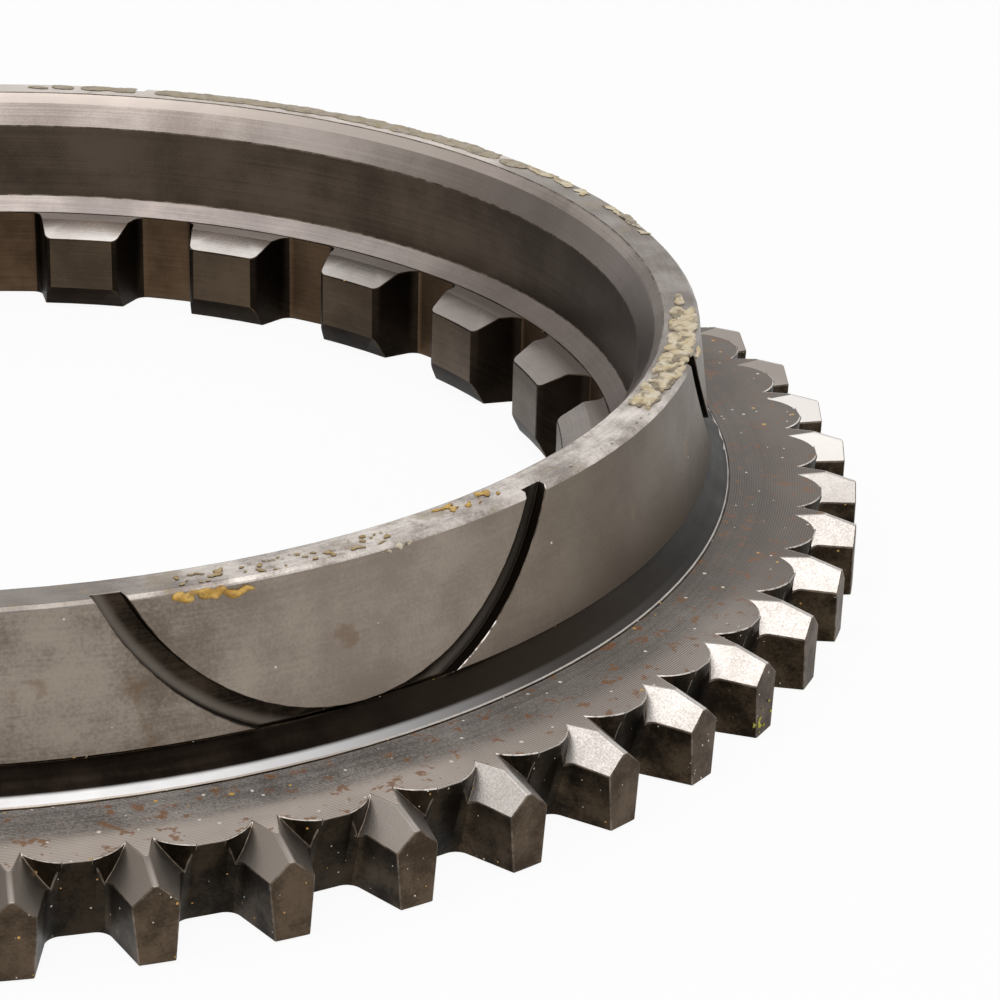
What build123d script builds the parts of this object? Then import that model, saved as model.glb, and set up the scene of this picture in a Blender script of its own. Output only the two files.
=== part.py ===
from build123d import *
import math
import os

# Synchronizer hub with its friction cone, one steel piece. Millimetres and degrees, +Z up.
# The origin is on the axis, in the plane of the bottom face. A dog tooth points along +X.

# Dog teeth round the flange, given by the space between two of them at the bottom face
TOOTH_COUNT = 52
TIP_RADIUS = 80.0
SPACE_DEPTH = 4.9
SPACE_WIDTH = 7.1
SPACE_FLANK_ANGLE = 17.0
SPACE_LEAN = 15.9
SPACE_ROOT_FILLET = 1.2

# Pointed ends of the dog teeth: a ridge with a narrow land, and two facets that run out in the flange face
RIDGE_LAND = 0.4
RIDGE_DROP_AT_TIP = 0.85
RIDGE_FALL = 17.2
ROOF_ANGLE = 43.5
RUN_OUT_RADIUS = 4.2
RUN_OUT_REACH = 3.15

# Flange, friction cone and rim
FLANGE_THICKNESS = 6.85
HUB_HEIGHT = 20.8
CONE_TOP_RADIUS = 65.55
CONE_ANGLE = 7.5
CONE_TOP_CHAMFER = 0.3
CONE_FOOT_HEIGHT = 2.65
UNDERCUT_DEPTH = 0.6
COVE_RADIUS = 2.35

# Oil grooves that hang in arcs across the cone, open at the rim
GROOVE_COUNT = 6
GROOVE_ARC_RADIUS = 19.65
GROOVE_WIDTH = 2.0
GROOVE_DEPTH = 1.0
GROOVE_CENTRE_ABOVE_RIM = 7.45
GROOVE_PHASE = 53.4

# Bore above the spline, set by the wall left at the rim, and its mouth
RIM_WALL = 5.2
BORE_RADIUS = CONE_TOP_RADIUS - RIM_WALL
MOUTH_BEVEL_WIDTH = 1.35
MOUTH_BEVEL_HEIGHT = 2.1
MOUTH_STEP_WIDTH = 0.7
MOUTH_STEP_HEIGHT = 0.95

# Sloping ledge between the bore and the spline's root
LEDGE_WIDTH = 1.75
LEDGE_RISE = 1.35

# Inner spline, cut inwards from the foot of the ledge
SPLINE_COUNT = 22
SPLINE_HEIGHT = 8.85
SPLINE_TOOTH_DEPTH = 4.6
SPLINE_ROOT_RADIUS = BORE_RADIUS - LEDGE_WIDTH
SPLINE_TIP_RADIUS = SPLINE_ROOT_RADIUS - SPLINE_TOOTH_DEPTH
SPLINE_TIP_WIDTH = 7.5
SPLINE_FLANK_ANGLE = 20.0
SPLINE_ROOT_FILLET = 1.2
SPLINE_TIP_FILLET = 0.9
SPLINE_FLANK_CHAMFER = 0.7
SPLINE_BEVEL_WIDTH = 2.6
SPLINE_BEVEL_HEIGHT = 1.35
SPLINE_FOOT_BEVEL_WIDTH = 1.2
SPLINE_FOOT_BEVEL_HEIGHT = 2.2
SPLINE_PHASE = 7.7

# Room that a cutter needs past the surface where it leaves the metal
CLEAR = 1.0


def slope(angle):
    """Rise over run of an angle in degrees."""
    return math.tan(math.radians(angle))


def cone_radius(height):
    """Radius of the friction cone at a height above the bottom face."""
    return CONE_TOP_RADIUS + (HUB_HEIGHT - height) * slope(CONE_ANGLE)


def turned_blank():
    """The turned blank: flange, cove, friction cone, rim, bore and the web that the spline is cut in."""
    chamfer_foot = HUB_HEIGHT - CONE_TOP_CHAMFER
    cone_foot = FLANGE_THICKNESS + CONE_FOOT_HEIGHT
    cove_top = (cone_radius(cone_foot) - UNDERCUT_DEPTH, FLANGE_THICKNESS + COVE_RADIUS)
    cove_end = (cove_top[0] + COVE_RADIUS, FLANGE_THICKNESS)
    bevel_top = HUB_HEIGHT - MOUTH_STEP_HEIGHT
    bevel_radius = BORE_RADIUS + MOUTH_BEVEL_WIDTH
    outline = Polyline(
        cove_end,
        (TIP_RADIUS, FLANGE_THICKNESS),
        (TIP_RADIUS, 0),
        (SPLINE_TIP_RADIUS + SPLINE_FOOT_BEVEL_WIDTH, 0),
        (SPLINE_TIP_RADIUS, SPLINE_FOOT_BEVEL_HEIGHT),
        (SPLINE_TIP_RADIUS, SPLINE_HEIGHT - SPLINE_BEVEL_HEIGHT),
        (SPLINE_TIP_RADIUS + SPLINE_BEVEL_WIDTH, SPLINE_HEIGHT),
        (SPLINE_ROOT_RADIUS, SPLINE_HEIGHT),
        (BORE_RADIUS, SPLINE_HEIGHT + LEDGE_RISE),
        (BORE_RADIUS, bevel_top - MOUTH_BEVEL_HEIGHT),
        (bevel_radius, bevel_top),
        (bevel_radius + MOUTH_STEP_WIDTH, HUB_HEIGHT),
        (cone_radius(chamfer_foot) - CONE_TOP_CHAMFER, HUB_HEIGHT),
        (cone_radius(chamfer_foot), chamfer_foot),
        (cone_radius(cone_foot), cone_foot),
        cove_top,
    )
    cove = RadiusArc(cove_top, cove_end, COVE_RADIUS)
    return revolve(make_face(Plane.XZ * (outline + cove)), Axis.Z)


def tooth_space():
    """Cutter for one space between dog teeth, on the +X axis, run along a line that leans outwards."""
    lean = math.radians(SPACE_LEAN)
    across_cut = Plane(
        origin=(TIP_RADIUS, 0, 0),
        x_dir=(math.cos(lean), 0, -math.sin(lean)),
        z_dir=(math.sin(lean), 0, math.cos(lean)),
    )
    flare = slope(SPACE_FLANK_ANGLE)
    past_tip = 2 * CLEAR
    root_half = SPACE_WIDTH / 2 - SPACE_DEPTH * flare
    outer_half = SPACE_WIDTH / 2 + past_tip * flare
    outline = make_face(
        Polyline(
            (-SPACE_DEPTH, -root_half),
            (past_tip, -outer_half),
            (past_tip, outer_half),
            (-SPACE_DEPTH, root_half),
            (-SPACE_DEPTH, -root_half),
        )
    )
    outline = fillet(outline.vertices().sort_by(Axis.X)[:2], SPACE_ROOT_FILLET)
    ends_past = SPACE_DEPTH * math.sin(lean) + CLEAR
    length = FLANGE_THICKNESS / math.cos(lean) + 2 * ends_past
    return extrude(across_cut * Pos(0, 0, -ends_past) * outline, amount=length)


def tooth_point():
    """Cutter for the pointed end of the tooth on the +X axis: all above two facets, up to the run-outs."""
    inner = TIP_RADIUS - SPACE_DEPTH - 2 * CLEAR
    outer = TIP_RADIUS + 2 * CLEAR
    half_land = RIDGE_LAND / 2
    half_width = SPACE_WIDTH / 2
    ridge_at_tip = FLANGE_THICKNESS - RIDGE_DROP_AT_TIP
    ridge_inner = ridge_at_tip + (TIP_RADIUS - inner) * slope(RIDGE_FALL)
    roof_foot = ridge_inner - (half_width - half_land) * slope(ROOF_ANGLE)
    top = ridge_inner + CLEAR
    section = make_face(
        Plane.YZ
        * Polyline(
            (-half_land, ridge_inner),
            (half_land, ridge_inner),
            (half_width, roof_foot),
            (half_width, top),
            (-half_width, top),
            (-half_width, roof_foot),
            (-half_land, ridge_inner),
        )
    )
    fall = slope(RIDGE_FALL)
    length = (outer - inner) * math.hypot(1, fall)
    cutter = extrude(Pos(inner, 0, 0) * section, amount=length, dir=(1, 0, -fall))
    run_out_centre = TIP_RADIUS - RUN_OUT_REACH - RUN_OUT_RADIUS
    half_pitch = 180 / TOOTH_COUNT
    for side in (-half_pitch, half_pitch):
        scallop = Cylinder(RUN_OUT_RADIUS, 2 * top)
        cutter -= Rot(0, 0, side) * Pos(run_out_centre, 0, 0) * scallop
    return cutter


def around(shape, count, phase):
    """Copies of a cutter turned round the axis, the first one at the phase angle."""
    return [Rot(0, 0, phase + 360 * i / count) * shape for i in range(count)]


def groove_cutters():
    """Arc grooves of even depth, each a ring on a radial axis, kept to a skin of the friction cone."""
    foot = FLANGE_THICKNESS + COVE_RADIUS
    top = HUB_HEIGHT + CLEAR
    reach = cone_radius(foot) + CLEAR
    centre_height = HUB_HEIGHT + GROOVE_CENTRE_ABOVE_RIM
    sideways = Plane(origin=(0, 0, centre_height), x_dir=(0, 1, 0), z_dir=(1, 0, 0))
    ring = Circle(GROOVE_ARC_RADIUS + GROOVE_WIDTH / 2) - Circle(GROOVE_ARC_RADIUS - GROOVE_WIDTH / 2)
    groove = extrude(sideways * ring, amount=reach)
    skin = revolve(
        make_face(
            Plane.XZ
            * Polyline(
                (cone_radius(foot) - GROOVE_DEPTH, foot),
                (reach, foot),
                (reach, top),
                (cone_radius(top) - GROOVE_DEPTH, top),
                (cone_radius(foot) - GROOVE_DEPTH, foot),
            )
        ),
        Axis.Z,
    )
    return [skin & copy for copy in around(groove, GROOVE_COUNT, GROOVE_PHASE)]


def splined_hole():
    """Cutter for the splined hole: a disc to the spline's root, less its teeth, with rounded corners."""
    halfway = SPLINE_TIP_RADIUS + SPLINE_TOOTH_DEPTH / 2
    flare = slope(SPLINE_FLANK_ANGLE)
    inner = SPLINE_TIP_RADIUS - CLEAR
    outer = SPLINE_ROOT_RADIUS + CLEAR
    inner_half = SPLINE_TIP_WIDTH / 2 - CLEAR * flare
    outer_half = inner_half + (outer - inner) * flare
    tooth = make_face(
        Polyline(
            (inner, -inner_half),
            (outer, -outer_half),
            (outer, outer_half),
            (inner, inner_half),
            (inner, -inner_half),
        )
    )
    outline = Circle(SPLINE_ROOT_RADIUS) - around(tooth, SPLINE_COUNT, SPLINE_PHASE)
    outline += Circle(SPLINE_TIP_RADIUS)
    roots = [corner for corner in outline.vertices() if math.hypot(corner.X, corner.Y) > halfway]
    outline = fillet(roots, SPLINE_ROOT_FILLET)
    tips = [corner for corner in outline.vertices() if math.hypot(corner.X, corner.Y) < halfway]
    outline = fillet(tips, SPLINE_TIP_FILLET)
    return extrude(Pos(0, 0, -CLEAR) * outline, amount=HUB_HEIGHT + 2 * CLEAR)


def flank_chamfer():
    """Cutter for the chamfer along the top of one flank of the spline tooth on the +X axis."""
    angle = math.radians(SPLINE_FLANK_ANGLE)
    along = (math.cos(angle), -math.sin(angle), 0)
    into_tooth = (math.sin(angle), math.cos(angle), 0)
    top_corner = (SPLINE_TIP_RADIUS, -SPLINE_TIP_WIDTH / 2, SPLINE_HEIGHT)
    reach = SPLINE_FLANK_CHAMFER + CLEAR
    wedge = make_face(
        Plane(origin=top_corner, x_dir=into_tooth, z_dir=along)
        * Polyline((reach, CLEAR), (-CLEAR, -reach), (-CLEAR, CLEAR), (reach, CLEAR))
    )
    return extrude(wedge, amount=SPLINE_TOOTH_DEPTH / math.cos(angle))


def synchronizer_hub():
    """The hub: the turned blank with its spline, oil grooves, dog teeth and their points cut."""
    flank = flank_chamfer()
    other_flank = mirror(flank, about=Plane.XZ)
    half_space = 180 / TOOTH_COUNT
    body = turned_blank() - splined_hole()
    body -= around(flank, SPLINE_COUNT, SPLINE_PHASE) + around(other_flank, SPLINE_COUNT, SPLINE_PHASE)
    body -= groove_cutters()
    body -= around(tooth_space(), TOOTH_COUNT, half_space)
    body -= around(tooth_point(), TOOTH_COUNT, 0)
    return body


os.makedirs("parts", exist_ok=True)
export_step(synchronizer_hub(), "parts/synchronizer_hub.step")
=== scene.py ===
import bpy
import math
import random
import numpy as np
from mathutils import Matrix, Vector, noise


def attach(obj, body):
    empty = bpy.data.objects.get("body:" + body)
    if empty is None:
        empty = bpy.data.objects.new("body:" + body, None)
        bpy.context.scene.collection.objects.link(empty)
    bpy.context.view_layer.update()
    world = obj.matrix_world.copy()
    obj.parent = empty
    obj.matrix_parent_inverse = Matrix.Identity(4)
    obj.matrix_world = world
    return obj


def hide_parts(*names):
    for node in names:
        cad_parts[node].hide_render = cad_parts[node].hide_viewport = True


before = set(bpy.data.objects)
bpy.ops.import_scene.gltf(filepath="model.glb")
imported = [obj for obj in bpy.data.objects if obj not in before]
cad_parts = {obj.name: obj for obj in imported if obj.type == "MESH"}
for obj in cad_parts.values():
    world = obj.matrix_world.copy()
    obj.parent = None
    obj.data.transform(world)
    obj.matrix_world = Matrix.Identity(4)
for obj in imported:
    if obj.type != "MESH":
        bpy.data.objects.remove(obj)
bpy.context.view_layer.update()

bl_info = {
    "name": "Synchronizer Hub Dresser",
    "version": (1, 0, 0),
    "blender": (4, 5, 0),
    "location": "3D View > Sidebar > Hub",
    "description": "Gives the packed synchronizer hub its worn steel, its dried sealant and a studio",
    "category": "Object",
}

MM = 0.001
HUB_NODE = "synchronizer_hub"

# The hub's own sizes in millimetres, repeated from its source to tell its surfaces apart
HUB_HEIGHT = 20.8
FLANGE_HEIGHT = 6.85
TIP_RADIUS = 80.0
SPACE_DEPTH = 4.9
CONE_TOP_RADIUS = 65.55
CONE_ANGLE = math.radians(7.5)
CONE_FOOT = 9.5
STEP_RADIUS = 62.4
STEP_HEIGHT = 0.95
MOUTH_FOOT = 17.75
LEDGE_TOP = 10.2
SPLINE_HEIGHT = 8.85
SPLINE_ROOT = 58.6
SPLINE_TIP = 54.0
GROOVE_COUNT = 6
GROOVE_PHASE = math.radians(53.4)
GROOVE_CENTRE_HEIGHT = 28.25

# Foot of the undercut as the photo shows it: where each row of the rounded cove goes, by its turn
# in degrees from upright
COVE_INNER = 66.43
COVE_RADIUS = 2.35
COVE_TURNS = (0, 16, 33, 57, 90)
COVE_RADII = (66.43, 66.85, 67.35, 68.1, 68.78)
COVE_HEIGHTS = (9.2, 8.6, 7.95, 7.5, 6.85)
COVE_TOLERANCE = 0.04

# How the hub's faces are told apart
FLAT = 0.98  # upward part of a normal above which a face is flat
LEAN = 0.05  # how far the upward part may be off for an upright wall or the cone
CLOSE = 0.05  # distance in millimetres within which a face's centre lies on a plane

# Where the rounded edges change their finish, in millimetres and degrees
BOTTOM_EDGES = 0.5  # height of the highest edge round the bottom face
UNDERCUT_EDGES = 69.2  # radius of the outermost edge of the undercut
SCALLOP_EDGES = 72  # radius past which the flange's outline runs in scallops
FACET_EDGES = 4.5  # height of the lowest edge between a tooth's facets
LIP_RADIUS = 69  # the front groove's lower lip gets a painted highlight within this radius,
LIP_HEIGHT = 12  # below this height
LIP_ANGLES = (-60.5, -55.0)  # and between these angles

# Patterns, in millimetres
WEAR_RADIUS = 66.0  # middle of the turned surfaces, for runs along the circumference
HEIGHT_SHARE = 1.7  # how much faster tool lines change with height than with radius
WEAR_PATCH = 14.0  # patches where the turning marks are worn away

# Residue: grid on which crumbs melt together and the height of their lumps, in millimetres
CRUMB_GRID = 0.14
CRUMB_LUMPS = 0.12

FLOOR_SIZE = 4.0  # in metres
FLOOR_GAP = 0.2 * MM  # keeps the floor just below the bottom face
FLOOR_GLOW = 0.93  # share of plain white in the floor as it is seen, the rest carries the hub's shadow


# Helpers


def linear(hex_colour):
    """A colour written as sRGB hex, as the linear RGBA that shaders take."""
    channels = [int(hex_colour[i : i + 2], 16) / 255 for i in (1, 3, 5)]
    return [c / 12.92 if c <= 0.04045 else ((c + 0.055) / 1.055) ** 2.4 for c in channels] + [1.0]


def add_node(tree, kind, settings=None, sockets=None):
    """Adds a node, sets its properties, then gives its input sockets a value or a link.

    The settings are a dictionary, or only the name of the node's operation.
    """
    made = tree.nodes.new(kind)
    if isinstance(settings, str):
        settings = {"operation": settings}
    for name, value in (settings or {}).items():
        setattr(made, name, value)
    for name, value in (sockets or {}).items():
        if isinstance(value, bpy.types.NodeSocket):
            tree.links.new(value, made.inputs[name])
        else:
            made.inputs[name].default_value = value
    return made


def select_only(piece):
    """Deselects everything and makes one object selected and active."""
    bpy.ops.object.select_all(action="DESELECT")
    piece.select_set(True)
    bpy.context.view_layer.objects.active = piece


def apply_modifier(piece, kind, **settings):
    """Puts a modifier on a piece, sets it and applies it."""
    modifier = piece.modifiers.new(kind.lower(), kind)
    for name, value in settings.items():
        setattr(modifier, name, value)
    select_only(piece)
    bpy.ops.object.modifier_apply(modifier=modifier.name)


# Patterns of the worn steel. Places are in millimetres, from the piece's own coordinates.


def start_material(name):
    """A new material with an empty node tree and its output node."""
    material = bpy.data.materials.new(name)
    material.use_nodes = True
    material.node_tree.nodes.clear()
    output = add_node(material.node_tree, "ShaderNodeOutputMaterial")
    return material, material.node_tree, output


def places(tree):
    """The place in millimetres, its direction, radius and height, and the way across the tool lines."""
    coords = add_node(tree, "ShaderNodeTexCoord").outputs["Object"]
    place = add_node(tree, "ShaderNodeVectorMath", "SCALE", {0: coords, "Scale": 1 / MM}).outputs[0]
    flat = add_node(tree, "ShaderNodeVectorMath", "MULTIPLY", {0: place, 1: (1, 1, 0)}).outputs[0]
    radius = add_node(tree, "ShaderNodeVectorMath", "LENGTH", {0: flat}).outputs["Value"]
    direction = add_node(tree, "ShaderNodeVectorMath", "NORMALIZE", {0: flat}).outputs[0]
    height = add_node(tree, "ShaderNodeSeparateXYZ", sockets={0: place}).outputs["Z"]
    across = add_node(
        tree, "ShaderNodeMath", "MULTIPLY_ADD", {0: height, 1: HEIGHT_SHARE, 2: radius}
    ).outputs[0]
    return {"place": place, "direction": direction, "radius": radius, "height": height, "across": across}


def arc_distance(tree, where):
    """The distance in millimetres from the centre that the nearest oil groove's arc is struck from."""
    split = add_node(tree, "ShaderNodeSeparateXYZ", sockets={0: where["direction"]}).outputs
    around = add_node(tree, "ShaderNodeMath", "ARCTAN2", {0: split["Y"], 1: split["X"]}).outputs[0]
    turned = add_node(tree, "ShaderNodeMath", "SUBTRACT", {0: around, 1: GROOVE_PHASE}).outputs[0]
    half = math.pi / GROOVE_COUNT
    local = add_node(tree, "ShaderNodeMath", "WRAP", {0: turned, 1: -half, 2: half}).outputs[0]
    sine = add_node(tree, "ShaderNodeMath", "SINE", {0: local}).outputs[0]
    sideways = add_node(tree, "ShaderNodeMath", "MULTIPLY", {0: sine, 1: where["radius"]}).outputs[0]
    below = add_node(
        tree, "ShaderNodeMath", "SUBTRACT", {0: where["height"], 1: GROOVE_CENTRE_HEIGHT}
    ).outputs[0]
    flat = add_node(tree, "ShaderNodeCombineXYZ", sockets={0: sideways, 1: below}).outputs[0]
    return add_node(tree, "ShaderNodeVectorMath", "LENGTH", {0: flat}).outputs["Value"]


def tool_lines(tree, where, pitch, run):
    """Fine lines along the circumference: a pitch across them and a run along them, in millimetres."""
    around = add_node(
        tree, "ShaderNodeVectorMath", "SCALE", {0: where["direction"], "Scale": WEAR_RADIUS / run}
    ).outputs[0]
    split = add_node(tree, "ShaderNodeSeparateXYZ", sockets={0: around}).outputs
    step = add_node(tree, "ShaderNodeMath", "DIVIDE", {0: where["across"], 1: pitch}).outputs[0]
    spot = add_node(tree, "ShaderNodeCombineXYZ", sockets={0: split[0], 1: split[1], 2: step}).outputs[0]
    return add_node(
        tree, "ShaderNodeTexNoise", sockets={"Vector": spot, "Scale": 1.0, "Detail": 2.0}
    ).outputs["Fac"]


def turning_marks(tree, where, pitch):
    """Even turning marks: a wave over the radius, one crest for each turn of the tool."""
    turns = add_node(
        tree, "ShaderNodeMath", "MULTIPLY", {0: where["across"], 1: 2 * math.pi / pitch}
    ).outputs[0]
    wave = add_node(tree, "ShaderNodeMath", "SINE", {0: turns}).outputs[0]
    return add_node(
        tree, "ShaderNodeMapRange", sockets={"Value": wave, "From Min": -1.0, "From Max": 1.0}
    ).outputs[0]


def blotches(tree, where, size, low, high, detail=4.0, shift=(0, 0, 0)):
    """Cloudy patches of a size in millimetres, from 0 below the low threshold to 1 above the high one."""
    spot = add_node(tree, "ShaderNodeVectorMath", "ADD", {0: where["place"], 1: shift}).outputs[0]
    cloud = add_node(
        tree,
        "ShaderNodeTexNoise",
        sockets={"Vector": spot, "Scale": 1 / size, "Detail": detail, "Roughness": 0.6},
    ).outputs["Fac"]
    return add_node(
        tree, "ShaderNodeMapRange", sockets={"Value": cloud, "From Min": low, "From Max": high}
    ).outputs[0]


def specks(tree, where, spacing, size, share, shift=(0, 0, 0)):
    """Loose specks, one in each cell of the spacing and kept in a share of the cells, in millimetres."""
    spot = add_node(tree, "ShaderNodeVectorMath", "ADD", {0: where["place"], 1: shift}).outputs[0]
    cells = add_node(tree, "ShaderNodeTexVoronoi", sockets={"Vector": spot, "Scale": 1 / spacing})
    chance = add_node(tree, "ShaderNodeSeparateXYZ", sockets={0: cells.outputs["Color"]}).outputs
    reach = add_node(tree, "ShaderNodeMath", "MULTIPLY", {0: chance[1], 1: size / spacing}).outputs[0]
    near = add_node(
        tree, "ShaderNodeMath", "LESS_THAN", {0: cells.outputs["Distance"], 1: reach}
    ).outputs[0]
    kept = add_node(tree, "ShaderNodeMath", "LESS_THAN", {0: chance[0], 1: share}).outputs[0]
    return add_node(tree, "ShaderNodeMath", "MULTIPLY", {0: near, 1: kept}).outputs[0]


def band(tree, value, start, full):
    """A smooth step of a value, from 0 at the start to 1 where it is full."""
    return add_node(
        tree,
        "ShaderNodeMapRange",
        {"interpolation_type": "SMOOTHSTEP"},
        {"Value": value, "From Min": start, "From Max": full},
    ).outputs[0]


def tint(tree, amount, under, over):
    """A colour laid over another one by an amount. Each is a hex colour, a linear one or a socket."""
    colours = [linear(c) if isinstance(c, str) else c for c in (under, over)]
    return add_node(
        tree, "ShaderNodeMix", {"data_type": "RGBA"}, {0: amount, 6: colours[0], 7: colours[1]}
    ).outputs[2]


def weighted(tree, parts):
    """The sum of several patterns, each times its weight."""
    total = 0.0
    for pattern, weight in parts:
        total = add_node(
            tree, "ShaderNodeMath", "MULTIPLY_ADD", {0: pattern, 1: weight, 2: total}
        ).outputs[0]
    return total


def steel_surface(
    name, dust_colours, dark, light, roughness, pitch=0.25, run=9.0, grain=0.2, cloud=6.0,
    weights=(0.4, 0.4, 0.2), stain=None, dust=None, turning=None, painted_shading=(), painted_rings=(), relief=0.02,
    metallic=1.0,
):
    """Worn steel between a dark and a light tone, mixed by tool lines, cloudy wear and grain.

    pitch, run: width and length of the tool lines. grain, cloud: size of the grain and of the wear.
    weights: shares of lines, wear and grain. relief: depth of the bump. All sizes are in millimetres.
    stain: rust as colour, size, threshold and strength. dust: size of a speck, share of cells, spacing.
    turning: pitch of the turning marks, their strength and the tone of their valleys.
    painted_shading: painted light and shade by the side of the hub a surface faces, as axis, start, full,
    colour and strength.
    painted_rings: painted light and shade in rings where one measure of the place runs from start to full,
    as measure, start, full, colour.
    metallic: below 1 it stands for a dull layer of dust and oxide over the steel.
    """
    material, tree, output = start_material(name)
    where = places(tree)
    lines = tool_lines(tree, where, pitch, run)
    wear = blotches(tree, where, cloud, 0.3, 0.7)
    sand = add_node(
        tree, "ShaderNodeTexNoise", sockets={"Vector": where["place"], "Scale": 1 / grain, "Detail": 1.0}
    ).outputs["Fac"]
    mixed = weighted(tree, ((lines, weights[0]), (wear, weights[1]), (sand, weights[2])))
    colour = tint(tree, band(tree, mixed, 0.25, 0.75), dark, light)
    # Painted light and shade in rings, by radius or by distance from a groove's arc
    if any(measure == "arc" for measure, *_ in painted_rings):
        where["arc"] = arc_distance(tree, where)
    for measure, start, full, over in painted_rings:
        colour = tint(tree, band(tree, where[measure], start, full), colour, over)
    # Painted light and shade by the side of the hub that a surface faces
    for axis, start, full, over, strength in painted_shading:
        side = add_node(tree, "ShaderNodeSeparateXYZ", sockets={0: where["direction"]}).outputs[axis]
        painted_amount = add_node(
            tree, "ShaderNodeMath", "MULTIPLY", {0: band(tree, side, start, full), 1: strength}
        ).outputs[0]
        colour = tint(tree, painted_amount, colour, over)
    if turning:
        turn_pitch, strength, valley = turning
        patchy = blotches(tree, where, WEAR_PATCH, 0.25, 0.55, shift=(31, 7, 0))
        patchy = add_node(tree, "ShaderNodeMath", "MULTIPLY", {0: patchy, 1: strength}).outputs[0]
        marks = turning_marks(tree, where, turn_pitch)
        marks = add_node(tree, "ShaderNodeMath", "MULTIPLY", {0: marks, 1: patchy}).outputs[0]
        colour = tint(tree, marks, colour, valley)
        mixed = weighted(tree, ((marks, -0.5), (mixed, 1.0)))
    dull = 0.0
    if stain:
        tone, size, threshold, strength = stain
        rust = blotches(tree, where, size, threshold, threshold + 0.05, detail=5.0, shift=(17, 5, 3))
        rust = add_node(tree, "ShaderNodeMath", "MULTIPLY", {0: rust, 1: strength}).outputs[0]
        colour = tint(tree, rust, colour, tone)
        dull = rust
    if dust:
        size, share, spacing = dust
        pale = specks(tree, where, spacing, size, share)
        brassy = specks(tree, where, spacing * 1.5, size * 1.3, share, shift=(4, 9, 2))
        colour = tint(tree, pale, colour, dust_colours[0])
        colour = tint(tree, brassy, colour, dust_colours[1])
        dull = weighted(tree, ((pale, 1.0), (brassy, 1.0), (dull, 0.8)))
    if stain or dust:
        metallic = add_node(
            tree, "ShaderNodeMath", {"operation": "SUBTRACT", "use_clamp": True}, {0: metallic, 1: dull}
        ).outputs[0]
    rough = add_node(
        tree,
        "ShaderNodeMapRange",
        sockets={
            "Value": mixed,
            "From Min": 0.2,
            "From Max": 0.8,
            "To Min": roughness + 0.06,
            "To Max": roughness - 0.06,
        },
    ).outputs[0]
    bump = add_node(
        tree, "ShaderNodeBump", sockets={"Strength": 0.5, "Distance": relief * MM, "Height": mixed}
    ).outputs[0]
    steel = add_node(
        tree,
        "ShaderNodeBsdfPrincipled",
        sockets={"Base Color": colour, "Metallic": metallic, "Roughness": rough, "Normal": bump},
    )
    tree.links.new(steel.outputs[0], output.inputs[0])
    return material


# Finishes of the hub's surfaces: one case-hardened steel, as it was turned, ground, milled or broached

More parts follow.
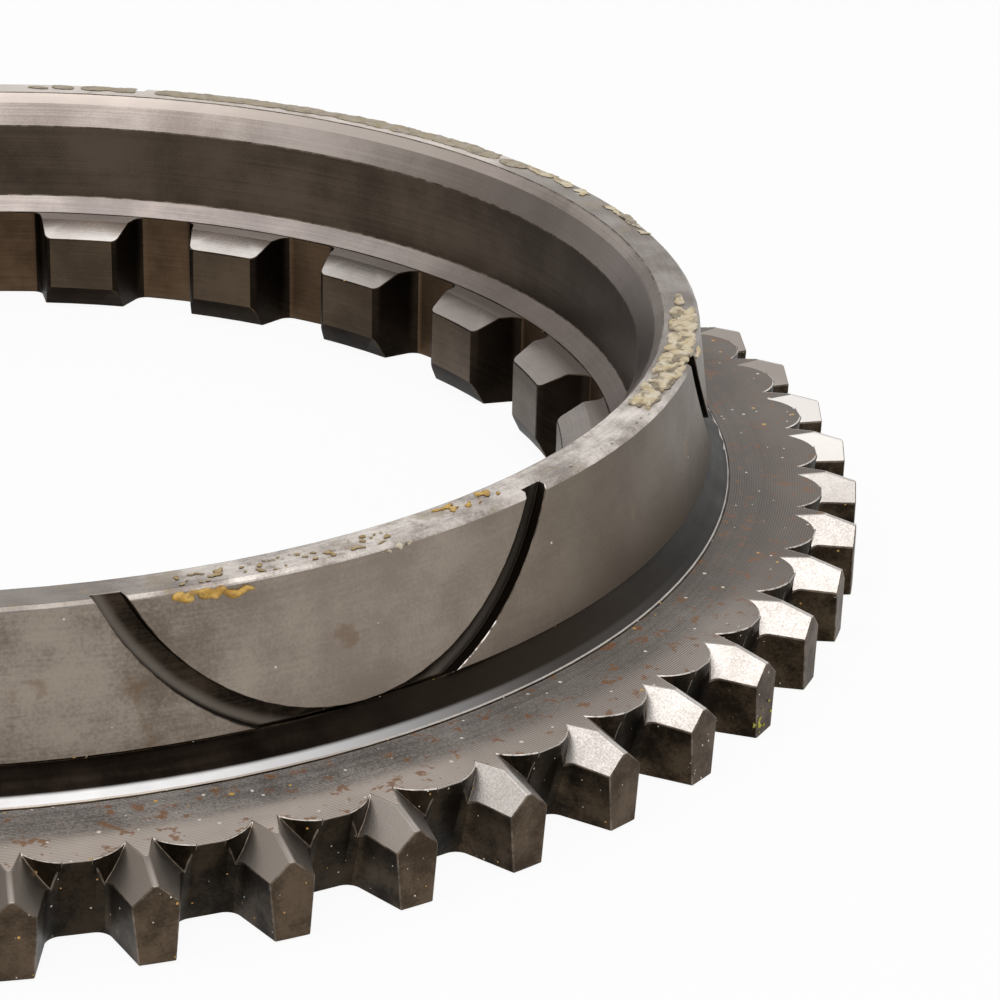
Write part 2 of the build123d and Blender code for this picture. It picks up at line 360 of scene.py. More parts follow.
FINISHES = {
    # Faced on a lathe: fine rings that shimmer, rust in small marks, dust and brass-coloured grit; a
    # painted highlight round the outer edge and painted shade darker towards the right
    "turned_flange": dict(
        dark="#625c57", light="#c6bfb9", roughness=0.46, pitch=0.35, run=40.0, grain=0.2, cloud=9.0,
        weights=(0.3, 0.25, 0.4), stain=("#74491d", 1.15, 0.585, 0.8), dust=(0.17, 0.2, 0.7),
        turning=(0.21, 0.6, "#37312d"), relief=0.04, metallic=0.4,
        painted_rings=(("radius", 72.0, 74.5, "#d0c4ba"),),
        painted_shading=(("X", 0.3, 0.7, "#756b63", 0.5), ("X", 0.72, 0.9, "#5f544b", 0.85)),
    ),
    # Ground cone: mottled grey brown with faint rings from the mating part; painted light lighter on the
    # right, painted shade darker again at the far right
    "ground_cone": dict(
        dark="#685d53", light="#958a7e", roughness=0.4, pitch=0.3, run=5.0, grain=0.25, cloud=7.0,
        weights=(0.22, 0.45, 0.33), stain=("#6d5438", 5.0, 0.62, 0.45), dust=(0.14, 0.05, 1.0),
        painted_shading=(("X", 0.15, 0.35, "#9a8e82", 0.5), ("X", 0.45, 0.78, "#51473b", 0.8)),
    ),
    # Undercut behind the cone: painted shade, black above for the dark surroundings its hollow reflects, a
    # painted highlight where the slope meets the flange, fading to the right
    "painted_shade_undercut": dict(
        dark="#0f0b08", light="#1f1914", roughness=0.42, cloud=4.0, dust=(0.12, 0.03, 1.0),
        painted_rings=(("radius", 67.95, 68.25, "#b0aeae"),),
        painted_shading=(("X", 0.28, 0.66, "#2b241d", 0.93), ("X", 0.7, 0.9, "#120e0a", 0.95)),
    ),
    # Milled oil groove: dark, with painted shading by distance from its arc's centre: a painted highlight
    # along its lower side where it faces the light, then painted shade just beyond it
    "milled_groove": dict(
        dark="#15110d", light="#3d342b", roughness=0.46, cloud=3.0, dust=(0.12, 0.1, 1.0),
        painted_rings=(("arc", 19.5, 20.3, "#6b635b"), ("arc", 20.35, 20.65, "#2a241e")),
    ),
    # Top of the rim: scuffed bright in patches with a brown film between; painted light brighter at the
    # back, painted shade darker on the left and at the far right
    "scuffed_rim": dict(
        dark="#857b74", light="#dfd7cf", roughness=0.38, pitch=0.35, run=3.0, grain=0.2, cloud=5.0,
        weights=(0.3, 0.45, 0.25), stain=("#8a795f", 4.0, 0.58, 0.5), dust=(0.14, 0.06, 1.0),
        painted_shading=(
            ("X", 0.3, 0.08, "#746c66", 0.85),
            ("Y", 0.1, 0.6, "#d6cdc4", 0.75),
            ("X", 0.84, 0.94, "#6f665f", 0.75),
        ),
    ),
    # Bevelled mouth of the bore: finely turned, light, with painted shade darker to the right
    "turned_mouth": dict(
        dark="#7f756f", light="#a89e97", roughness=0.34, pitch=0.3, run=30.0, cloud=12.0,
        painted_shading=(("X", 0.6, 0.95, "#574e48", 0.85),),
    ),
    # Narrow step inside the rim: darker than the bevel below it as painted shade on the steep step, and
    # painted light lighter at the back
    "mouth_step": dict(
        dark="#6d645e", light="#968c85", roughness=0.4, pitch=0.3, run=30.0, cloud=12.0,
        painted_shading=(("Y", 0.2, 0.7, "#b5aaa2", 0.8),),
    ),
    # Plain bore wall: smoother, dark brown as painted shade for the dark surroundings it reflects
    "bore_wall": dict(
        dark="#3d342c", light="#554a40", roughness=0.36, pitch=0.4, run=30.0, cloud=14.0,
        weights=(0.3, 0.5, 0.2),
    ),
    # Narrow ledge at the foot of the bore: turned bright, with painted shade darker to the right
    "turned_ledge": dict(
        dark="#8f8682", light="#b3a8a2", roughness=0.4, pitch=0.3, run=12.0, cloud=10.0,
        painted_shading=(("X", 0.7, 0.95, "#5c524b", 0.75),),
    ),
    # Tops of the spline teeth: turned, pale and slightly dull, with painted shade darker to the right
    "spline_top": dict(
        dark="#a79d96", light="#c9beb6", roughness=0.36, cloud=8.0, metallic=0.6,
        painted_shading=(("X", 0.5, 1.0, "#6a615b", 0.8),),
    ),
    # Bevel of the spline teeth: near white, a painted highlight where it faces the light from above, with
    # painted shade darker to the right
    "spline_bevel": dict(
        dark="#d6ccc5", light="#f7f1ec", roughness=0.28, cloud=6.0,
        painted_shading=(("X", 0.35, 1.0, "#756c66", 0.8),),
    ),
    # Broached sides of the spline: nearly black, painted shade for the shadow on them; browner and lighter
    # on the tips and roots
    "spline_flank": dict(dark="#17120d", light="#2a221b", roughness=0.5, cloud=5.0),
    "spline_tip": dict(dark="#43382d", light="#55483b", roughness=0.46, cloud=6.0),
    "spline_root": dict(dark="#4a3a2b", light="#5f4d3c", roughness=0.5, cloud=5.0),
    # Pointed ends of the dog teeth: milled facets with a fine sandy grain; a near-white painted highlight
    # at the far right, painted shade at the back and towards the left
    "tooth_facet": dict(
        dark="#a39c96", light="#bdb7b2", roughness=0.38, grain=0.16, cloud=3.0,
        weights=(0.1, 0.2, 0.7), dust=(0.12, 0.05, 1.0),
        painted_shading=(
            ("Y", -0.3, -0.1, "#ece7e2", 0.85),
            ("Y", 0.02, 0.11, "#8f867d", 0.85),
            ("X", 0.45, 0.3, "#8f867d", 0.95),
        ),
    ),
    # Narrow land along the ridge between two facets: a painted highlight a little brighter than most
    # facets, with painted shade on the left
    "tooth_land": dict(
        dark="#a8a19c", light="#cfcac6", roughness=0.36, grain=0.2, cloud=3.0,
        painted_shading=(("X", 0.45, 0.3, "#a09790", 0.9),),
    ),
    # Outer ends of the dog teeth: brown film with many fine specks
    "tooth_tip": dict(
        dark="#40352a", light="#5f5143", roughness=0.5, grain=0.2, cloud=3.0,
        weights=(0.1, 0.55, 0.35), dust=(0.09, 0.35, 0.55),
    ),
    # Flanks and roots between the dog teeth: dark, painted shade for the shade between the teeth and the
    # dark surroundings they reflect, with specks of grit
    "tooth_flank": dict(
        dark="#1f1912", light="#463b2e", roughness=0.5, grain=0.25, cloud=3.0,
        weights=(0.1, 0.55, 0.35), dust=(0.09, 0.35, 0.55),
    ),
    "tooth_root": dict(
        dark="#16120d", light="#332b21", roughness=0.46, grain=0.25, cloud=3.0,
        weights=(0.1, 0.55, 0.35), dust=(0.09, 0.3, 0.55),
    ),
    # Bottom face: turned like the flange, with a thin even film
    "bottom_face": dict(dark="#4f4843", light="#8d847e", roughness=0.4, pitch=0.4, run=22.0, cloud=9.0),
    # Burrs along the flange's scalloped edge: bare metal with a painted sparkle; on the front groove's
    # lower lip the same tone is a painted highlight
    "burr_and_painted_sheen_edge": dict(
        dark="#5a5149", light="#d5ccc4", roughness=0.36, grain=0.3, cloud=0.7, weights=(0.0, 0.7, 0.5)
    ),
    # Other edges: worn a little lighter than the faces beside them
    "worn_edge": dict(
        dark="#4a4138", light="#776c61", roughness=0.42, grain=0.4, cloud=1.5, weights=(0.0, 0.6, 0.4)
    ),
}


# Zones of the hub, by place and normal


def hub_zones(mesh):
    """The finish of each face of the hub as an array of names, from the face's place and normal."""
    count = len(mesh.polygons)
    centres = np.zeros(count * 3)
    normals = np.zeros(count * 3)
    mesh.polygons.foreach_get("center", centres)
    mesh.polygons.foreach_get("normal", normals)
    centres = centres.reshape(-1, 3) / MM
    normals = normals.reshape(-1, 3)
    radius = np.hypot(centres[:, 0], centres[:, 1])
    height = centres[:, 2]
    up = normals[:, 2]
    outward = (centres[:, 0] * normals[:, 0] + centres[:, 1] * normals[:, 1]) / np.maximum(radius, 1e-6)
    zone = np.full(count, "tooth_flank", dtype=object)

    # Outside: the dog teeth and the spaces between them
    outside = radius > CONE_TOP_RADIUS + 3
    zone[outside & (outward > 0.75)] = "tooth_root"
    zone[outside & (radius > TIP_RADIUS - 0.3) & (outward > 0.9)] = "tooth_tip"
    zone[outside & (up > 0.4) & (up < 0.9)] = "tooth_facet"
    zone[(radius > TIP_RADIUS - SPACE_DEPTH) & (up > 0.9) & (up < FLAT)] = "tooth_land"

    # The collar: undercut, cone with its grooves, and rim
    collar = (radius > STEP_RADIUS) & ~outside & (height > FLANGE_HEIGHT + 0.01)
    # The undercut's finish paints its shade and the highlight at its foot
    zone[collar & (height < CONE_FOOT - 0.02)] = "painted_shade_undercut"
    on_cone = collar & (height > CONE_FOOT - 0.02)
    off_cone = np.abs(radius - CONE_TOP_RADIUS - (HUB_HEIGHT - height) * math.tan(CONE_ANGLE))
    leans_as_cone = np.abs(up - math.sin(CONE_ANGLE)) < LEAN
    zone[on_cone] = "milled_groove"
    zone[on_cone & (off_cone < 0.12) & leans_as_cone] = "ground_cone"
    zone[(height > HUB_HEIGHT - 0.4) & (up > 0.5)] = "scuffed_rim"

    # Inside: mouth, bore wall, ledge and spline
    inside = radius < STEP_RADIUS + 0.1
    faces_in = (outward < -0.2) & (up > LEAN)
    zone[inside & (height > MOUTH_FOOT) & faces_in] = "turned_mouth"
    zone[inside & (height > HUB_HEIGHT - STEP_HEIGHT) & faces_in] = "mouth_step"
    zone[inside & (height > LEDGE_TOP - CLOSE) & (np.abs(up) < LEAN)] = "bore_wall"
    zone[inside & (radius > SPLINE_ROOT - 0.1) & (height < LEDGE_TOP) & (up > 0.3)] = "turned_ledge"
    spline = inside & (height < SPLINE_HEIGHT + CLOSE) & (radius < SPLINE_ROOT + CLOSE) & (up > -0.5)
    zone[spline & (up <= FLAT)] = "spline_flank"
    zone[spline & (up > FLAT)] = "spline_top"
    zone[spline & (up > 0.2) & (up <= FLAT) & (outward < -0.3)] = "spline_bevel"
    upright = spline & (np.abs(up) < 0.2)
    zone[upright & (outward < -0.97) & (radius < SPLINE_TIP + 0.1)] = "spline_tip"
    zone[upright & (outward < -0.9) & (radius > SPLINE_ROOT - 0.2)] = "spline_root"

    # The flange is a ring of few wide faces, some with their centre near the axis, so height alone decides
    zone[(up > FLAT) & (np.abs(height - FLANGE_HEIGHT) < CLOSE)] = "turned_flange"
    zone[up < -0.9] = "bottom_face"
    return zone


def finish_edges(mesh, names):
    """Gives the rounded edges their finish: burrs with painted sparkle, a painted highlight on a groove's
    lip, scuffs on the rim, painted shade below.
    """
    worn, burr_and_painted_sheen, scuffed, painted_shade_edge, milled, facet = (
        names.index(name)
        for name in (
            "worn_edge", "burr_and_painted_sheen_edge", "scuffed_rim", "tooth_flank", "milled_groove", "tooth_facet"
        )
    )
    for face in mesh.polygons:
        if face.material_index != worn:
            continue
        x, y, z = face.center / MM
        radius = math.hypot(x, y)
        cone = CONE_TOP_RADIUS + (HUB_HEIGHT - z) * math.tan(CONE_ANGLE)
        around = math.degrees(math.atan2(y, x))
        in_undercut = radius < UNDERCUT_EDGES and z < CONE_FOOT + 0.12
        on_flange = abs(z - FLANGE_HEIGHT) < 0.15 and face.normal.z > 0.3
        # Bottom, spline and undercut edges take the dark painted shade of the tooth flanks
        if z < BOTTOM_EDGES or radius < SPLINE_ROOT or in_undercut:
            face.material_index = painted_shade_edge
        elif STEP_RADIUS < radius < cone - 0.3 and z < HUB_HEIGHT - 0.3:
            face.material_index = milled
        # The front groove's lower lip gets a painted highlight
        elif radius < LIP_RADIUS and z < LIP_HEIGHT and LIP_ANGLES[0] < around < LIP_ANGLES[1]:
            face.material_index = burr_and_painted_sheen
        elif radius > TIP_RADIUS - SPACE_DEPTH and z > FACET_EDGES and face.normal.z > 0.75:
            face.material_index = facet
        # Burrs on the flange's scalloped edge, their sparkle painted
        elif on_flange and SCALLOP_EDGES < radius < TIP_RADIUS - 2:
            face.material_index = burr_and_painted_sheen
        elif z > HUB_HEIGHT - 0.4 and radius > STEP_RADIUS + 1:
            face.material_index = scuffed


def cut_slope(mesh):
    """Turns the undercut's rounded foot into a dark pocket with a straight slope down to the flange."""
    spots = np.zeros(len(mesh.vertices) * 3)
    mesh.vertices.foreach_get("co", spots)
    spots = spots.reshape(-1, 3) / MM
    radius = np.hypot(spots[:, 0], spots[:, 1])
    height = spots[:, 2]
    turn = np.degrees(np.arctan2(radius - COVE_INNER, height - FLANGE_HEIGHT))
    reach = np.hypot(radius - COVE_INNER, height - FLANGE_HEIGHT)
    on_cove = (np.abs(reach - COVE_RADIUS) < COVE_TOLERANCE) & (turn > 1) & (turn < 89)
    bpy.ops.object.mode_set(mode="EDIT")
    bpy.ops.mesh.select_mode(type="VERT")
    for row in np.unique(np.round(turn[on_cove])):
        ring = on_cove & (np.abs(turn - row) < 1)
        new_radius = np.interp(row, COVE_TURNS, COVE_RADII)
        new_height = np.interp(row, COVE_TURNS, COVE_HEIGHTS)
        bpy.ops.mesh.select_all(action="DESELECT")
        bpy.ops.object.mode_set(mode="OBJECT")
        mesh.vertices.foreach_set("select", ring)
        bpy.ops.object.mode_set(mode="EDIT")
        grow = new_radius / radius[ring].mean()
        bpy.ops.transform.resize(value=(grow, grow, 1), center_override=(0, 0, 0))
        bpy.ops.transform.translate(value=(0, 0, (new_height - height[ring].mean()) * MM))
    bpy.ops.object.mode_set(mode="OBJECT")


class HubDressSettings(bpy.types.PropertyGroup):
    """Edges and dust of the hub."""

    edge_round: bpy.props.FloatProperty(
        name="Edge round",
        description="Width of the rounding on the hub's edges",
        default=0.09 * MM,
        unit="LENGTH",
    )
    dust_colour: bpy.props.FloatVectorProperty(
        name="Dust colour",
        description="Colour of the pale specks on the steel",
        default=linear("#ddd6cb"),
        size=4,
        subtype="COLOR",
    )
    grit_colour: bpy.props.FloatVectorProperty(
        name="Grit colour",
        description="Colour of the brass-coloured specks on the steel",
        default=linear("#c99b4e"),
        size=4,
        subtype="COLOR",
    )


class StudioSettings(bpy.types.PropertyGroup):
    """Camera, floor and light of the studio."""

    camera_place: bpy.props.FloatVectorProperty(
        name="Camera place",
        description="Where the camera stands, from the middle of the hub's bottom face",
        default=(-8.03 * MM, -267.28 * MM, 115.33 * MM),
        subtype="TRANSLATION",
    )
    camera_turn: bpy.props.FloatProperty(
        name="Camera turn",
        description="Turn of the camera to the right of +Y",
        default=0.2130,
        subtype="ANGLE",
    )
    camera_tilt: bpy.props.FloatProperty(
        name="Camera tilt",
        description="Tilt of the camera below the horizon",
        default=0.4057,
        subtype="ANGLE",
    )
    camera_roll: bpy.props.FloatProperty(
        name="Camera roll",
        description="Roll of the camera about its own axis",
        default=0.0245,
        subtype="ANGLE",
    )
    lens: bpy.props.FloatProperty(
        name="Lens", description="Focal length of the camera in millimetres", default=115.487
    )
    floor_colour: bpy.props.FloatVectorProperty(
        name="Floor colour",
        description="Colour of the floor where it lights the hub",
        default=linear("#f2f1ef"),
        size=4,
        subtype="COLOR",
    )
    sky_strength: bpy.props.FloatProperty(
        name="Sky strength", description="Strength of the even light from all round", default=0.55
    )
    softbox_place: bpy.props.FloatVectorProperty(
        name="Softbox place",
        description="Middle of the softbox overhead",
        default=(-0.07, -0.28, 0.85),
        subtype="TRANSLATION",
    )
    softbox_aim: bpy.props.FloatVectorProperty(
        name="Softbox aim",
        description="Point that the softbox faces",
        default=(0, -0.03, 0.01),
        subtype="TRANSLATION",
    )
    softbox_length: bpy.props.FloatProperty(
        name="Softbox length", description="Long side of the softbox", default=1.0, unit="LENGTH"
    )
    softbox_width: bpy.props.FloatProperty(
        name="Softbox width", description="Short side of the softbox", default=0.45, unit="LENGTH"
    )
    softbox_power: bpy.props.FloatProperty(
        name="Softbox power", description="Power of the softbox", default=3.7, unit="POWER"
    )


class SYNCHRO_OT_dress_hub(bpy.types.Operator):
    """Model the hub's steel body with rounded edges and give each surface its finish"""

    bl_idname = "synchro.dress_hub"
    bl_label = "Dress hub"

    def execute(self, context):
        settings = context.scene.hub_dress
        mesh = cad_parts[HUB_NODE].data.copy()
        hub = bpy.data.objects.new("steel_hub", mesh)
        context.scene.collection.objects.link(hub)
        select_only(hub)
        bpy.ops.mesh.customdata_custom_splitnormals_clear()
        bpy.ops.object.mode_set(mode="EDIT")
        bpy.ops.mesh.select_all(action="SELECT")
        bpy.ops.mesh.remove_doubles(threshold=0.002 * MM)
        bpy.ops.mesh.dissolve_limited(angle_limit=math.radians(0.4))
        bpy.ops.object.mode_set(mode="OBJECT")
        cut_slope(mesh)
        names = list(FINISHES)
        dust_colours = (tuple(settings.dust_colour), tuple(settings.grit_colour))
        mesh.materials.clear()
        for name, finish in FINISHES.items():
            mesh.materials.append(steel_surface("steel_" + name, dust_colours, **finish))
        mesh.polygons.foreach_set("material_index", [names.index(zone) for zone in hub_zones(mesh)])
        bpy.ops.object.shade_smooth()
        apply_modifier(
            hub,
            "BEVEL",
            width=settings.edge_round,
            segments=2,
            limit_method="ANGLE",
            angle_limit=math.radians(32),
            use_clamp_overlap=False,
            miter_outer="MITER_SHARP",
            material=names.index("worn_edge"),
            harden_normals=True,
        )
        finish_edges(mesh, names)
        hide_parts(HUB_NODE)
        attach(hub, "root")
        return {"FINISHED"}


# Dried residue. Each row is one patch: name, surface, first and last angle in degrees, inner and outer
# place in millimetres (radius on the rim, height on the cone and on a tooth's tip), crumbs, crumb length,
# crumb height, size of the gaps, width of the ridges between the gaps (1 leaves no gap), smoothing, residue

PATCHES = (
    ("sealant_patch", "rim", -27.5, -12.0, 62.8, 65.45, 800, 0.7, 0.22, 1.1, 0.16, 2, "cream"),
    ("sealant_bed", "rim", -33.0, -13.0, 62.9, 65.3, 130, 1.9, 0.08, 2.5, 0.6, 6, "dull"),
    ("sealant_lump", "rim", -34.0, -27.5, 62.6, 64.9, 120, 0.8, 0.28, 1.8, 0.2, 3, "cream"),
    ("sealant_bead", "rim", -10.8, -9.4, 63.4, 64.4, 9, 0.8, 0.25, 2.0, 1.0, 4, "cream"),
    ("sealant_smear_right", "rim", 6.0, 14.0, 64.2, 65.4, 26, 1.2, 0.08, 2.0, 0.35, 5, "cream"),
    ("sealant_plug", "rim", 8.7, 10.9, 64.5, 65.45, 22, 0.9, 0.2, 1.0, 1.0, 4, "grey"),
    ("sealant_smear_back", "rim", 17.0, 27.0, 64.0, 65.4, 40, 1.4, 0.09, 2.0, 0.35, 5, "cream"),
    ("sealant_film_back", "rim", 27.0, 66.0, 63.2, 65.45, 190, 2.4, 0.1, 4.0, 0.3, 6, "grey"),
    ("sealant_film_far", "rim", 66.0, 118.0, 63.4, 65.4, 130, 2.6, 0.07, 4.0, 0.2, 6, "grey"),
    ("chalky_scuff", "rim", -47.0, -33.0, 64.4, 65.5, 260, 0.5, 0.04, 0.8, 0.16, 1, "chalk"),
    ("lime_grit", "tip", -43.2, -40.6, 0.3, 2.6, 16, 0.5, 0.1, 1.0, 1.0, 1, "lime"),
    ("sealant_crumbs", "rim", -58.2, -52.8, 62.5, 64.2, 40, 0.55, 0.14, 1.0, 0.3, 2, "amber"),
    ("sealant_film_front", "rim", -79.0, -63.0, 63.2, 65.3, 330, 0.6, 0.06, 1.2, 0.15, 1, "gold"),
    ("sealant_drip", "cone", -78.6, -73.8, 20.5, 19.8, 20, 0.8, 0.34, 1.0, 1.0, 4, "amber"),
    ("sealant_dribble", "cone", -64.4, -62.2, 20.65, 20.2, 9, 0.5, 0.16, 1.0, 1.0, 3, "cream"),
    ("sealant_tip_right", "cone", -21.5, -19.6, 20.6, 19.9, 9, 0.6, 0.2, 1.0, 1.0, 3, "cream"),
    ("grit_front", "rim", -62.0, -58.5, 62.6, 65.0, 12, 0.4, 0.08, 1.0, 0.6, 2, "cream"),
)

# Each residue: material, pale tone, deep tone, tone of the grime on it, roughness. Silicone-like sealant
# dries chalky where it is thin, and stays amber and a little glossy where it is thick.
RESIDUES = {
    "cream": ("dried_sealant_cream", "#ddd3be", "#c8b48c", "#7d7061", 0.75),
    "grey": ("dried_sealant_grey", "#b3a89b", "#a39679", "#857b70", 0.75),
    "dull": ("dried_sealant_dull", "#a3967f", "#857a69", "#635a4d", 0.75),
    "gold": ("dried_sealant_gold", "#bba988", "#9f8450", "#7d7061", 0.75),
    "chalk": ("chalk_dust", "#d3cfca", "#b9b4ae", "#8a847e", 0.75),
    "lime": ("lime_residue", "#c9c25e", "#a39d3a", "#6d6530", 0.75),
    "amber": ("dried_sealant_amber", "#dcb862", "#b0812f", "#7a5a33", 0.45),
}


def patch_spot(surface, angle, place, lift):
    """A point in metres, lifted off the rim's top, a tooth's tip or the cone, and the surface's normal."""
    if surface == "rim":
        radius, height, normal = place, HUB_HEIGHT + lift, Vector((0, 0, 1))
    elif surface == "tip":
        radius, height, normal = TIP_RADIUS + lift, place, Vector((math.cos(angle), math.sin(angle), 0))
    else:
        lean = Vector((math.cos(CONE_ANGLE), 0, math.sin(CONE_ANGLE)))
        radius = CONE_TOP_RADIUS + (HUB_HEIGHT - place) * math.tan(CONE_ANGLE) + lift
        height, normal = place, Matrix.Rotation(angle, 3, "Z") @ lean
    return Vector((radius * math.cos(angle), radius * math.sin(angle), height)) * MM, normal


def add_crumb(centre, normal, along, size):
    """Adds one flattened crumb, longest along a direction that lies in the surface."""
    across = normal.cross(along).normalized()
    turn = Matrix((normal.cross(across) * -1, across, normal)).transposed()
    bpy.ops.mesh.primitive_ico_sphere_add(
        subdivisions=2,
        radius=1.0,
        location=centre,
        rotation=turn.to_euler(),
        scale=[s * MM for s in size],
    )
    return bpy.context.object


def lay_crumbs(row, surface, first, last, inner, outer, count, length, thick, gaps, ridge):
    """Lays the crumbs of one patch at random, apart from those that fall in its gaps."""
    dice = random.Random(row)
    crumbs = []
    for _ in range(count):
        long = length * dice.uniform(0.35, 0.75)
        wide = long * dice.uniform(0.35, 0.7)
        angle = math.radians(dice.uniform(first, last))
        inset = wide if surface == "rim" else 0
        place = dice.uniform(inner + inset, outer - inset)
        spread = noise.noise(Vector((angle * WEAR_RADIUS / gaps, place / gaps, row)))
        if abs(spread) > ridge:
            continue
        spot, normal = patch_spot(surface, angle, place, dice.uniform(0, 0.5) * thick)
        heading = Vector((-math.sin(angle), math.cos(angle), 0))
        heading.rotate(Matrix.Rotation(dice.uniform(-0.5, 0.5), 3, normal))
        size = (long, wide, thick * dice.uniform(0.7, 1.6))
        crumbs.append(add_crumb(spot, normal, heading, size))
    return crumbs


def join_crumbs(name, crumbs, smoothing):
    """Melts crumbs into one closed skin, smooths and roughens it and leaves it at the origin."""
    bpy.ops.object.select_all(action="DESELECT")
    for crumb in crumbs:
        crumb.select_set(True)
    bpy.context.view_layer.objects.active = crumbs[0]
    if len(crumbs) > 1:
        bpy.ops.object.join()
    piece = bpy.context.object
    piece.name = name
    bpy.ops.object.transform_apply(location=True, rotation=True, scale=True)
    apply_modifier(piece, "REMESH", mode="VOXEL", voxel_size=CRUMB_GRID * MM)
    apply_modifier(piece, "SMOOTH", factor=0.5, iterations=smoothing)
    clouds = bpy.data.textures.new(name, "CLOUDS")
    clouds.noise_scale = 3 * CRUMB_GRID * MM
    apply_modifier(
        piece, "DISPLACE", texture=clouds, texture_coords="LOCAL", strength=CRUMB_LUMPS * MM, mid_level=0.6
    )
    bpy.data.textures.remove(clouds)
    bpy.ops.object.shade_smooth()
    return piece


def residue_surface(name, pale, deep, grime, roughness):
    """Dried residue: two tones in small clouds, grime in other clouds and a fine crumbly grain."""
    material, tree, output = start_material(name)
    where = places(tree)
    tone = blotches(tree, where, 1.1, 0.35, 0.65)
    dirt = blotches(tree, where, 0.8, 0.5, 0.66, shift=(3, 8, 1))
    dirt = add_node(tree, "ShaderNodeMath", "MULTIPLY", {0: dirt, 1: 0.75}).outputs[0]
    colour = tint(tree, dirt, tint(tree, tone, pale, deep), grime)
    fine = add_node(
        tree, "ShaderNodeTexNoise", sockets={"Vector": where["place"], "Scale": 1 / 0.25, "Detail": 2.0}
    ).outputs["Fac"]
    bump = add_node(
        tree, "ShaderNodeBump", sockets={"Strength": 0.6, "Distance": 0.08 * MM, "Height": fine}
    ).outputs[0]
    residue = add_node(
        tree,
        "ShaderNodeBsdfPrincipled",
        sockets={"Base Color": colour, "Roughness": roughness, "Normal": bump, "IOR": 1.45},
    )
    tree.links.new(residue.outputs[0], output.inputs[0])
    return material


class SYNCHRO_OT_add_sealant(bpy.types.Operator):
    """Lay the dried sealant on the rim, let it run over the cone, and add the chalk and grit"""

    bl_idname = "synchro.add_sealant"
    bl_label = "Add sealant"

    def execute(self, context):
        materials = {key: residue_surface(*residue) for key, residue in RESIDUES.items()}
        for row, (name, *layout, smoothing, residue) in enumerate(PATCHES):
            crumbs = lay_crumbs(row, *layout)
            if not crumbs:
                raise RuntimeError("no crumbs in " + name)
            piece = join_crumbs(name, crumbs, smoothing)
            piece.data.materials.clear()
            piece.data.materials.append(materials[residue])
            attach(piece, "root")
        return {"FINISHED"}


def seen_straight(tree):
    """1 where the camera, a gloss or a clear body sees the surface, and 0 for the light that it gives."""
    path = add_node(tree, "ShaderNodeLightPath").outputs
    seen = path["Is Camera Ray"]
    for ray in ("Is Glossy Ray", "Is Transmission Ray"):
        seen = add_node(tree, "ShaderNodeMath", "MAXIMUM", {0: seen, 1: path[ray]}).outputs[0]
    return seen


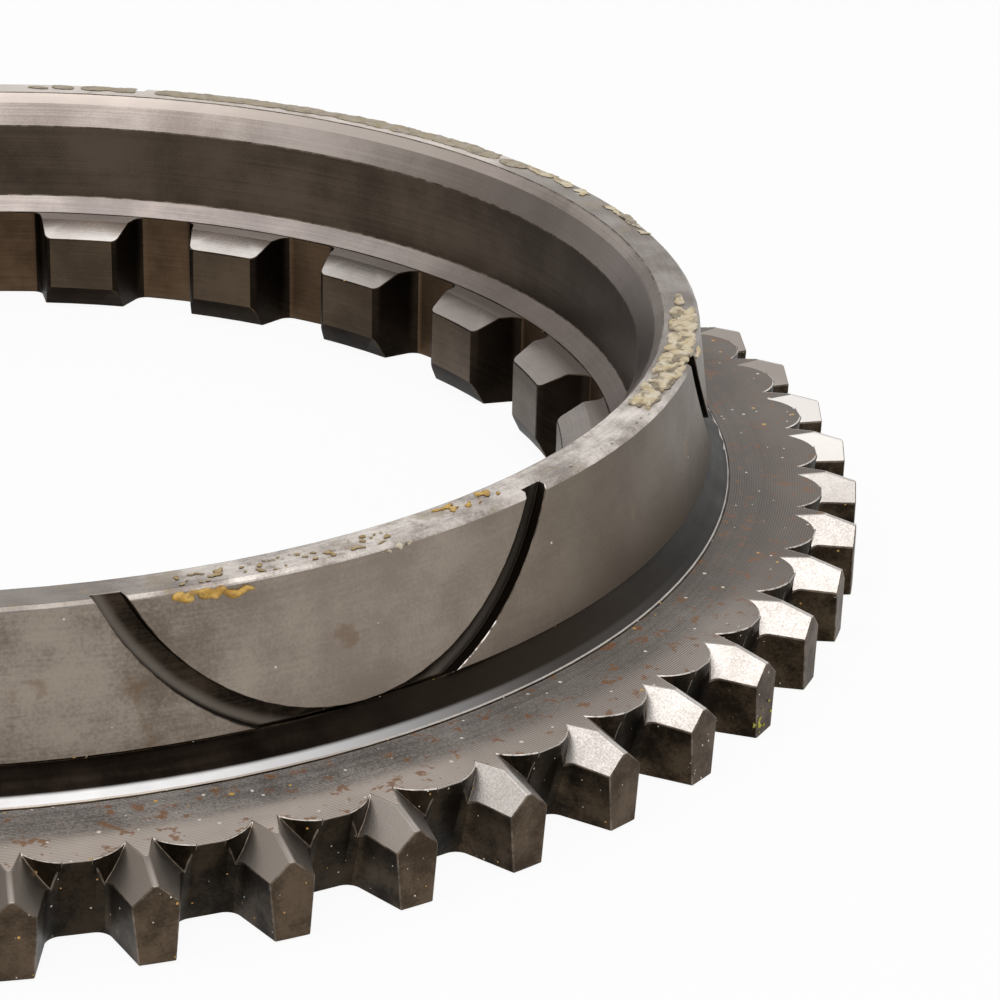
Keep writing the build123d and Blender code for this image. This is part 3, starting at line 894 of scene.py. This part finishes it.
class SYNCHRO_OT_set_stage(bpy.types.Operator):
    """Set up the camera, the pale floor and the soft lights"""

    bl_idname = "synchro.set_stage"
    bl_label = "Set stage"

    def execute(self, context):
        scene = context.scene
        settings = scene.hub_studio
        scene.view_settings.view_transform = "Standard"

        camera_data = bpy.data.cameras.new("camera")
        camera_data.lens = settings.lens
        camera_data.clip_start = 0.01
        camera = bpy.data.objects.new("camera", camera_data)
        scene.collection.objects.link(camera)
        turn = Matrix.Rotation(-settings.camera_turn, 4, "Z")
        tilt = Matrix.Rotation(math.pi / 2 - settings.camera_tilt, 4, "X")
        roll = Matrix.Rotation(settings.camera_roll, 4, "Z")
        camera.matrix_world = Matrix.Translation(settings.camera_place) @ turn @ tilt @ roll
        scene.camera = camera

        bpy.ops.object.select_all(action="DESELECT")
        bpy.ops.mesh.primitive_plane_add(size=FLOOR_SIZE, location=(0, 0, -FLOOR_GAP))
        floor = context.object
        floor.name = "floor"
        material, tree, output = start_material("pale_floor")
        share = add_node(tree, "ShaderNodeMath", "MULTIPLY", {0: seen_straight(tree), 1: FLOOR_GLOW})
        matt = add_node(tree, "ShaderNodeBsdfDiffuse", sockets={"Color": tuple(settings.floor_colour)})
        glow = add_node(tree, "ShaderNodeEmission", sockets={"Color": (1, 1, 1, 1), "Strength": 1.0})
        mix = add_node(
            tree,
            "ShaderNodeMixShader",
            sockets={0: share.outputs[0], 1: matt.outputs[0], 2: glow.outputs[0]},
        )
        tree.links.new(mix.outputs[0], output.inputs[0])
        floor.data.materials.append(material)

        world = bpy.data.worlds.new("studio")
        scene.world = world
        world.use_nodes = True
        tree = world.node_tree
        tree.nodes.clear()
        strength = add_node(
            tree,
            "ShaderNodeMapRange",
            sockets={"Value": seen_straight(tree), "To Min": settings.sky_strength, "To Max": 1.0},
        ).outputs[0]
        sky = add_node(
            tree, "ShaderNodeBackground", sockets={"Color": (1, 1, 1, 1), "Strength": strength}
        )
        output = add_node(tree, "ShaderNodeOutputWorld")
        tree.links.new(sky.outputs[0], output.inputs[0])

        lamp_data = bpy.data.lights.new("softbox", "AREA")
        lamp_data.shape = "RECTANGLE"
        lamp_data.size = settings.softbox_length
        lamp_data.size_y = settings.softbox_width
        lamp_data.energy = settings.softbox_power
        lamp = bpy.data.objects.new("softbox", lamp_data)
        scene.collection.objects.link(lamp)
        lamp.location = settings.softbox_place
        aim = Vector(settings.softbox_aim) - lamp.location
        lamp.rotation_mode = "QUATERNION"
        lamp.rotation_quaternion = aim.to_track_quat("-Z", "Y")
        return {"FINISHED"}


class SYNCHRO_PT_sidebar(bpy.types.Panel):
    """Buttons for the hub's pieces and stage."""

    bl_label = "Synchronizer hub"
    bl_space_type = "VIEW_3D"
    bl_region_type = "UI"
    bl_category = "Hub"

    def draw(self, context):
        for operator in (SYNCHRO_OT_dress_hub, SYNCHRO_OT_add_sealant, SYNCHRO_OT_set_stage):
            self.layout.operator(operator.bl_idname)


CLASSES = (
    HubDressSettings,
    StudioSettings,
    SYNCHRO_OT_dress_hub,
    SYNCHRO_OT_add_sealant,
    SYNCHRO_OT_set_stage,
    SYNCHRO_PT_sidebar,
)


def register():
    for cls in CLASSES:
        bpy.utils.register_class(cls)
    bpy.types.Scene.hub_dress = bpy.props.PointerProperty(type=HubDressSettings)
    bpy.types.Scene.hub_studio = bpy.props.PointerProperty(type=StudioSettings)


def unregister():
    del bpy.types.Scene.hub_studio
    del bpy.types.Scene.hub_dress
    for cls in reversed(CLASSES):
        bpy.utils.unregister_class(cls)


def main():
    register()
    bpy.ops.synchro.dress_hub()
    bpy.ops.synchro.add_sealant()
    bpy.ops.synchro.set_stage()


if __name__ == "__main__":
    main()
